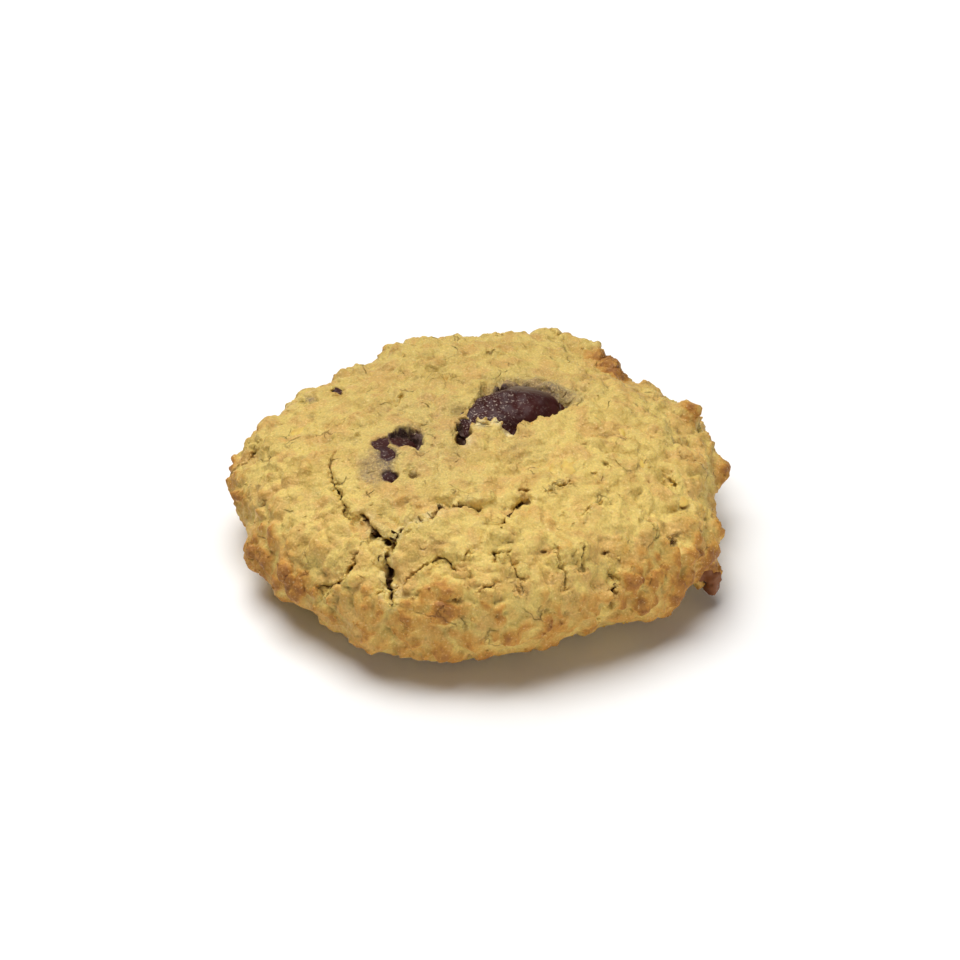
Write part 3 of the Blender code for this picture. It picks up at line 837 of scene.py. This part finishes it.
cranberries = []
for seed, place in enumerate(FRUIT_PLACES):
    berry = copy_node("cranberry_" + place, "dried_cranberry_" + place)
    apply_modifier(berry, "REMESH", mode="VOXEL", voxel_size=BERRY_DETAIL * MM)
    apply_modifier(berry, "SMOOTH", factor=0.5, iterations=8)
    berry_points, berry_normals = corners_of(berry)
    ridges = 1 - np.abs(clouds(berry_points, BERRY_WRINKLE_SIZE, 31 + seed, octaves=2)) * 2.5
    swell = BERRY_SWELL - BERRY_WRINKLE_DEPTH * np.clip(ridges, 0, 1)
    swell += CRUSTED * GLAZED[place] * clouds(berry_points, CRUST_SIZE, 36)
    move_corners(berry, berry_points + berry_normals * swell[:, None])
    frost = np.full(len(berry_points), THIN_FROST)
    if place == "middle":
        seen = picture_places(berry_points)
        along = (seen - FROST_FROM) @ (FROST_TO - FROST_FROM) / np.sum((FROST_TO - FROST_FROM) ** 2)
        frost = 1 - ramp(-0.2, 0.9, along)
        veil = ramp(0, 12, inside_outline(seen, FILMS[0].outline))
        veil *= 1 - ramp(2, 13, inside_outline(seen, TEARS[0].outline))
        paint(berry, "veil", veil * (0.85 + 0.5 * streaks_round_fruit(seen)))
    paint(berry, "frost", frost)
    paint(berry, "glaze", np.full(len(berry_points), GLAZED[place]))
    select_only(berry)
    bpy.ops.object.shade_smooth()
    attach(berry, "root")
    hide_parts("cranberry_" + place)
    cranberries.append(berry)
    print(berry.name, len(berry.data.polygons), "faces")

# %% [markdown]
# ## Oat flakes and crumbs
#
# A few rolled oats lie on the surface. A flake is a steamed and pressed groat: a thin oval, slightly cupped, with
# a crease along its middle. One is modelled from a flattened ball.

# %% Model one oat flake
FLAKE_HALF = (2.5, 1.9, 0.28)
GROOVE_DEPTH, GROOVE_WIDTH, CUPPING = 0.16, 0.25, 0.05

bpy.ops.mesh.primitive_ico_sphere_add(subdivisions=4, radius=MM)
flake = bpy.context.object
flake.name = "oat_flakes"
bpy.ops.object.mode_set(mode="EDIT")
bpy.ops.transform.resize(value=FLAKE_HALF)
bpy.ops.object.mode_set(mode="OBJECT")
flake_shape = corners_of(flake)[0]
flake_shape[:, 2] -= GROOVE_DEPTH * bell(flake_shape[:, 1], GROOVE_WIDTH) * (flake_shape[:, 2] > 0)
flake_shape[:, 2] -= CUPPING * (flake_shape[:, 0] ** 2 + flake_shape[:, 1] ** 2)
flake_faces = [list(face.vertices) for face in flake.data.polygons]
print("one flake:", len(flake_faces), "faces")

# %% [markdown]
# Copies are laid on the crust: six at picture points, with a size and a turn in degrees, and five on the far side, by
# azimuth and elevation. Each follows the mean slope of the skin under it, sunk to its middle as the dough rose.

# %% Lay the flakes on the crust
Flake = namedtuple("Flake", "place scale turn")
FLAKES = (
    Flake((564, 468), 1.0, 12), Flake((300, 430), 0.7, 20), Flake((640, 462), 0.55, 100),
    Flake((618, 430), 0.6, 60), Flake((680, 500), 0.5, 110), Flake((300, 500), 0.6, 140),
)
FAR_FLAKES = ((95, 8), (140, 8), (165, 4), (70, 2), (15, -4))
FLAKE_FOOTPRINT = 2.5
FLAKE_RISE, FLAKE_SUNK = 0.36, 0.24


def axes_on_skin(place, turn):
    """Three axes on the skin at this place: lengthwise, crosswise and up, turned by degrees."""
    nearby = [found for _, found, _ in skin_tree.find_range(place, FLAKE_FOOTPRINT)]
    up = Vector(unmoved_normals[nearby].mean(axis=0)).normalized()
    lengthwise = up.orthogonal().normalized()
    crosswise = up.cross(lengthwise)
    cosine, sine = math.cos(math.radians(turn)), math.sin(math.radians(turn))
    return np.array([lengthwise * cosine + crosswise * sine, crosswise * cosine - lengthwise * sine, up])


laid = [(seen_at(skin, *named.place), named.scale, named.turn) for named in FLAKES]
laid += [(out_from_middle(skin, *spot), rng.uniform(0.5, 0.8), rng.uniform(0, 180)) for spot in FAR_FLAKES]
all_points, all_faces = [], []
for place, scale, turn in laid:
    axes = axes_on_skin(place, turn)
    uneven = flake_shape * scale * (1 + 0.1 * clouds(flake_shape + place, 2, 41))[:, None]
    first = sum(len(chunk) for chunk in all_points)
    all_points.append(uneven @ axes + place + axes[2] * (FLAKE_RISE * scale - FLAKE_SUNK))
    all_faces += [[corner + first for corner in face] for face in flake_faces]
rebuild(flake, np.concatenate(all_points), all_faces)
select_only(flake)
bpy.ops.object.shade_smooth()
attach(flake, "root")
print(len(laid), "flakes,", len(all_faces), "faces")

# %% [markdown]
# Flour, sugar and oat dust bake into loose grains that catch the light one by one. They are small irregular stones
# of twenty faces, flattened onto the crust, most of them on the rough flanks. Each takes on the toast below it.

# %% Strew the crumbs
CRUMB_COUNT = 1500
CRUMB_HALF = (0.12, 0.32)
CRUMB_FLATNESS = 0.45

bpy.ops.mesh.primitive_ico_sphere_add(subdivisions=1, radius=MM)
crumbs = bpy.context.object
crumbs.name = "crumbs"
stone = corners_of(crumbs)[0]
stone_faces = np.array([list(face.vertices) for face in crumbs.data.polygons])

chance = (0.15 + 0.85 * flank) * (points[:, 2] > 1.0) * (stain < 0.1) * (carved < 0.15)
chosen = rng.choice(len(points), CRUMB_COUNT, replace=False, p=chance / chance.sum())
sizes = rng.triangular(CRUMB_HALF[0], CRUMB_HALF[0] + 0.05, CRUMB_HALF[1], CRUMB_COUNT)
knobbly = rng.uniform(0.65, 1.25, (CRUMB_COUNT, len(stone), 1))
shapes = stone[None] * knobbly * rng.uniform(0.7, 1.2, (CRUMB_COUNT, 1, 3))
heights = np.einsum("ijk,ik->ij", shapes, normals[chosen])
shapes -= CRUMB_FLATNESS * heights[:, :, None] * normals[chosen][:, None]
centres = points[chosen]
crumb_points = (centres[:, None] + shapes * sizes[:, None, None]).reshape(-1, 3)
crumb_faces = (stone_faces[None] + len(stone) * np.arange(CRUMB_COUNT)[:, None, None]).reshape(-1, 3)
rebuild(crumbs, crumb_points, crumb_faces.tolist())
paint(crumbs, "toast", np.repeat(toast[chosen] + rng.uniform(-0.12, 0.2, CRUMB_COUNT), len(stone)))
for layer in ("crease", "stain", "bare", "pale"):
    paint(crumbs, layer, np.zeros(len(crumb_points)))
select_only(crumbs)
bpy.ops.object.shade_smooth()
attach(crumbs, "root")
print("crumbs:", len(crumb_faces), "triangles")

# %% [markdown]
# ## Materials
#
# One small function adds a node with its settings and links, and a few others add the kinds that come up often. Hex
# colours are turned into the linear values that the shader wants, and patterns have sizes in millimetres.

# %% Colours and nodes
def colour(hex_code):
    """A linear colour from an sRGB hex code."""
    channels = [int(hex_code[k : k + 2], 16) / 255 for k in (1, 3, 5)]
    return (*[c / 12.92 if c <= 0.04045 else ((c + 0.055) / 1.055) ** 2.4 for c in channels], 1)


def set_inputs(node, inputs):
    """Give each of these inputs of a node a value or a link."""
    for name, value in inputs.items():
        if isinstance(value, bpy.types.NodeSocket):
            node.id_data.links.new(value, node.inputs[name])
        else:
            node.inputs[name].default_value = value


def add_node(tree, kind, inputs, **settings):
    """Add a node, set it up, and give each input a value or a link."""
    node = tree.nodes.new("ShaderNode" + kind)
    for setting, value in settings.items():
        setattr(node, setting, value)
    set_inputs(node, inputs)
    return node


def start_material(name):
    """A new material, its tree and its shader, with the place on the object as a coordinate."""
    material = bpy.data.materials.new(name)
    material.use_nodes = True
    tree = material.node_tree
    return material, tree, tree.nodes["Principled BSDF"], add_node(tree, "TexCoord", {}).outputs["Object"]


def noise_texture(tree, where, size, detail=2.0):
    """The outputs of a noise with features of this size in millimetres."""
    return add_node(tree, "TexNoise", {"Vector": where, "Scale": 1 / (size * MM), "Detail": detail}).outputs


def painted(tree, name):
    """The number that was painted on the corners."""
    return add_node(tree, "Attribute", {}, attribute_name=name).outputs["Fac"]


def calculate(tree, operation, *values, **settings):
    """The result of an operation on numbers or sockets."""
    return add_node(tree, "Math", dict(enumerate(values)), operation=operation, **settings).outputs[0]


def amount(tree, pattern, start, complete, at_start=0, at_complete=1):
    """A pattern as an amount: the values where it starts and is complete, and the amounts there."""
    ends = {"From Min": start, "From Max": complete, "To Min": at_start, "To Max": at_complete}
    return add_node(tree, "MapRange", {"Value": pattern, **ends}).outputs["Result"]


def bump(tree, height, strength, depth, **below):
    """A bump of this depth in millimetres, over the normal below."""
    inputs = {"Height": height, "Strength": strength, "Distance": depth * MM, **below}
    return add_node(tree, "Bump", inputs).outputs["Normal"]


def layers_over(tree, base, *layers):
    """A colour with others laid over it, each with its amount."""
    for how_much, tint in layers:
        base = add_node(tree, "Mix", {0: how_much, 6: base, 7: tint}, data_type="RGBA").outputs[2]
    return base


print("a pale dough colour in linear light:", [round(channel, 3) for channel in colour("#D8BB68")])

# %% [markdown]
# Baked oat dough is matt and floury, pale gold where it stayed soft and toffee brown where it toasted. Three noises
# vary it: a mottle of warmer and duller dough, patches of flour, and dust, drawn coarser than real dust so that it
# shows. The numbers painted on the corners say what the oven and the fruit did.

# %% Patterns of the baked oat dough
MOTTLE_SIZE, FLOUR_SIZE, DUST_SIZE = 3.4, 1.5, 0.3
FLOUR_IN_TOAST = 0.8

dough, tree, shader, where = start_material("toasted_oat_dough")
mottle = noise_texture(tree, where, MOTTLE_SIZE, 5.0)["Color"]
flour = noise_texture(tree, where, FLOUR_SIZE, 4.0)["Fac"]
dust = noise_texture(tree, where, DUST_SIZE)["Fac"]
warm, dull, wrinkly = add_node(tree, "SeparateColor", {"Color": mottle}).outputs
towards_back = add_node(tree, "SeparateXYZ", {"Vector": where}).outputs["Y"]
uneven = calculate(tree, "MULTIPLY_ADD", flour, FLOUR_IN_TOAST, -FLOUR_IN_TOAST / 2)
toasting = calculate(tree, "ADD", painted(tree, "toast"), uneven)
print(len(tree.nodes), "nodes of patterns")

# %% [markdown]
# Hairline wrinkles, finer than the mesh can hold, cross the dried skin in patches. They are the borders between
# Voronoi cells, bent by noise so that no straight run is left. They are bumped in and darkened with painted shade.

# %% Hairline wrinkles
HAIR_SPACING, HAIR_BEND, HAIR_BEND_SIZE = 3.4, 2.4, 2.2

bend = {0: noise_texture(tree, where, HAIR_BEND_SIZE)["Color"], 1: (HAIR_BEND * MM,) * 3, 2: where}
bent = add_node(tree, "VectorMath", bend, operation="MULTIPLY_ADD").outputs[0]
cells = {"Vector": bent, "Scale": 1 / (HAIR_SPACING * MM)}
to_border = add_node(tree, "TexVoronoi", cells, feature="DISTANCE_TO_EDGE").outputs["Distance"]
hairline = amount(tree, to_border, 0, 0.045, 1, 0)
hairs = calculate(tree, "MULTIPLY", hairline, amount(tree, wrinkly, 0.56, 0.64, 0, 0.45))
print("hairlines about every", HAIR_SPACING, "mm")

# %% [markdown]
# Each pattern becomes an amount. Painted light scales the dough as well: it is a little lighter at the front of the
# cookie and darker at the back, falling from front to back.

# %% Amounts of each thing
FRONT, BACK = -20 * MM, 20 * MM

peach = amount(tree, warm, 0.47, 0.6, 0, 0.8)
olive = amount(tree, dull, 0.5, 0.62, 0, 0.5)
toffee, burnt = amount(tree, toasting, 0.12, 0.75), amount(tree, toasting, 0.65, 1.2)
film = calculate(tree, "MULTIPLY", painted(tree, "stain"), amount(tree, dust, 0.35, 0.6, 0.95, 0.6))
# Painted shade: the painted crease numbers and the hairlines, taken together.
crease_and_hairline_shade = calculate(tree, "MAXIMUM", hairs, painted(tree, "crease"))
speckle = amount(tree, dust, 0.3, 0.7, 0.87, 1.1)
# Painted light: the speckle is scaled from 1.08 at the front to 0.91 at the back.
speckle_and_painted_light = calculate(tree, "MULTIPLY", speckle, amount(tree, towards_back, FRONT, BACK, 1.08, 0.91))
sugar = amount(tree, dust, 0.64, 0.72, 0, 0.45)
roughness = amount(tree, flour, 0.45, 0.65, 0.72, 0.52)
print(len(tree.nodes), "nodes of patterns and amounts")

# %% [markdown]
# The colour is built up in layers: uneven pale dough, then toast, then the grey of fruit behind a film and the maroon
# of bare fruit, the pale lips of fresh tears, and last painted shade, a dark brown in cracks, pits, creases, hollows
# and hairline wrinkles. Light goes a millimetre or so into dough, so the shader scatters a little of it below the
# surface.

# %% Layer the colours and finish the dough
PALE, PEACH, OLIVE = colour("#D8BB68"), colour("#D1A65E"), colour("#BB984A")
TOFFEE, BURNT, SUGAR_PALE = colour("#C48C3C"), colour("#8E5828"), colour("#EBD9A2")
CRACK_SHADE, FRUIT_VEIL, FRUIT_TINT = colour("#54330F"), colour("#7D6B55"), colour("#533B33")
HAIR_DEPTH, CRUMB_BUMP, DUST_BUMP = 0.5, 0.8, 0.06
LIGHT_IN_DOUGH = {"Subsurface Radius": (1.0, 0.6, 0.25), "Subsurface Scale": 0.8 * MM}

layered = layers_over(
    tree, PALE, (peach, PEACH), (olive, OLIVE), (toffee, TOFFEE), (burnt, BURNT), (film, FRUIT_VEIL),
    (painted(tree, "bare"), FRUIT_TINT), (painted(tree, "pale"), SUGAR_PALE), (crease_and_hairline_shade, CRACK_SHADE),
)
# The layers are scaled by the dust speckle and by the painted light from front to back.
speckled_with_painted_light = add_node(tree, "VectorMath", {0: layered, "Scale": speckle_and_painted_light}, operation="SCALE").outputs[0]
coarse = bump(tree, calculate(tree, "MULTIPLY_ADD", hairs, -HAIR_DEPTH, flour), 1.0, CRUMB_BUMP)
set_inputs(shader, {
    "Base Color": layers_over(tree, speckled_with_painted_light, (sugar, SUGAR_PALE)),
    "Roughness": roughness,
    "Normal": bump(tree, dust, 1.0, DUST_BUMP, Normal=coarse),
    "Specular IOR Level": 0.3,
    "Subsurface Weight": 0.15,
    **LIGHT_IN_DOUGH,
})
for piece in (crust, crumbs):
    piece.data.materials.append(dough)
print(dough.name, len(tree.nodes), "nodes")

# %% [markdown]
# A rolled oat is drier and more golden than the dough round it, with faint uneven patches of bran.

# %% Toasted oat flake
OAT_GOLD, OAT_BRAN = colour("#DDBA5A"), colour("#C9A04A")
BRAN_SIZE, BRAN_BUMP = 1.2, 0.2

oat, tree, shader, where = start_material("toasted_oat_flake")
bran = noise_texture(tree, where, BRAN_SIZE, 5.0)["Fac"]
set_inputs(shader, {
    "Base Color": layers_over(tree, OAT_GOLD, (amount(tree, bran, 0.4, 0.65), OAT_BRAN)),
    "Roughness": 0.6,
    "Normal": bump(tree, bran, 0.5, BRAN_BUMP),
    "Subsurface Weight": 0.2,
    **LIGHT_IN_DOUGH,
})
flake.data.materials.append(oat)
print(oat.name, len(tree.nodes), "nodes")

# %% [markdown]
# Dried cranberry skin is almost black in the middle and wine red at an edge. Sugar and flour have dried on it as
# pale grey grains, and the bare skin between them keeps a waxy gloss. Where the painted veil is strong a film of
# dough lies over it, and the one at the rim is glazed brown.

# %% Dried cranberry
BERRY_DEEP, BERRY_RED, SUGAR_GREY = colour("#260D0B"), colour("#461A15"), colour("#BCA898")
DOUGH_GLAZE = colour("#8F5B38")
FLESH_SIZE, DRIFT_SIZE, SUGAR_BUMP = 2.5, 4, 0.05
DRIFT_SHARE = 0.8

cranberry, tree, shader, where = start_material("leathery_cranberry_skin")
flesh = noise_texture(tree, where, FLESH_SIZE, 3.0)["Fac"]
grains = noise_texture(tree, where, DUST_SIZE)["Fac"]
drifts = noise_texture(tree, where, DRIFT_SIZE)["Fac"]
drifting = calculate(tree, "MULTIPLY_ADD", drifts, DRIFT_SHARE, -DRIFT_SHARE / 2)
drifted = calculate(tree, "ADD", painted(tree, "frost"), drifting, use_clamp=True)
sugar = calculate(tree, "MULTIPLY", amount(tree, grains, 0.58, 0.68), drifted)
berry_colour = layers_over(
    tree, BERRY_DEEP, (flesh, BERRY_RED), (sugar, SUGAR_GREY), (painted(tree, "glaze"), DOUGH_GLAZE),
    (painted(tree, "veil"), FRUIT_VEIL),
)
set_inputs(shader, {
    "Base Color": berry_colour,
    "Roughness": amount(tree, sugar, 0.0, 0.8, 0.5, 0.75),
    "Normal": bump(tree, grains, 0.5, SUGAR_BUMP),
    "Specular IOR Level": 0.22,
})
for piece in cranberries:
    piece.data.materials.append(cranberry)
print(cranberry.name, len(tree.nodes), "nodes")

# %% [markdown]
# ## The table and the light
#
# The cookie lies on matt white paper. It glows faintly from 60 mm outwards, as overlit paper in a product shot
# turns pure white, and only the shadow close to the cookie stays dark.

# %% Table
TABLE_SIZE = 3.0
GLOW_FROM, GLOW_FULL, GLOW = 60, 150, 0.4
FIBRE_SIZE, FIBRE_BUMP = 2, 0.05

bpy.ops.mesh.primitive_plane_add(size=TABLE_SIZE, location=(0, 0, 0))
table = bpy.context.object
table.name = "table"
paper, tree, shader, where = start_material("white_table_with_painted_glow")
from_cookie = add_node(tree, "VectorMath", {0: where}, operation="LENGTH").outputs["Value"]
set_inputs(shader, {
    "Base Color": colour("#F7F6F4"),
    "Roughness": 0.9,
    "Normal": bump(tree, noise_texture(tree, where, FIBRE_SIZE)["Fac"], 0.05, FIBRE_BUMP),
    "Specular IOR Level": 0.1,
    "Emission Color": colour("#FFFFFF"),
    # Painted glow: the paper itself gives off light, growing from 60 mm to 150 mm away from the cookie.
    "Emission Strength": amount(tree, from_cookie, GLOW_FROM * MM, GLOW_FULL * MM, 0, GLOW),
})
table.data.materials.append(paper)
print("table:", TABLE_SIZE, "m wide")

# %% [markdown]
# A large softbox above, a little behind and to the left, gives the pale top and the soft dark shadow in front. A
# small weak one, low at the front right, lights the flanks and hardly touches the table. Sizes are in metres.

# %% Soft lights
Softbox = namedtuple("Softbox", "place size watts")
SOFTBOXES = (Softbox(Vector((-0.1, 0.11, 0.58)), 0.5, 4.75), Softbox(Vector((0.34, -0.48, 0.1)), 0.2, 0.85))

for box in SOFTBOXES:
    aim = (-box.place).to_track_quat("-Z", "Y").to_euler()
    bpy.ops.object.light_add(type="AREA", location=box.place, rotation=aim)
    bpy.context.object.data.size = box.size
    bpy.context.object.data.energy = box.watts
print(len(SOFTBOXES), "softboxes")

# %% [markdown]
# The room is white, and brighter to the camera than to the cookie, as an overexposed background is. Its faint fill
# is cool, which keeps the shadows grey next to so much yellow.

# %% White room
FILL, BACKDROP = 0.088, 1.0

room = bpy.data.worlds.new("white_room")
room.use_nodes = True
bpy.context.scene.world = room
tree = room.node_tree
tree.nodes.clear()
is_seen = add_node(tree, "LightPath", {}).outputs["Is Camera Ray"]
fill = add_node(tree, "Background", {"Color": colour("#ECF3FF"), "Strength": FILL}).outputs[0]
backdrop = add_node(tree, "Background", {"Color": colour("#FFFFFF"), "Strength": BACKDROP}).outputs[0]
mixed = add_node(tree, "MixShader", {0: is_seen, 1: fill, 2: backdrop}).outputs[0]
add_node(tree, "OutputWorld", {"Surface": mixed})
bpy.context.scene.view_settings.view_transform = "Standard"
print("fill of", FILL)
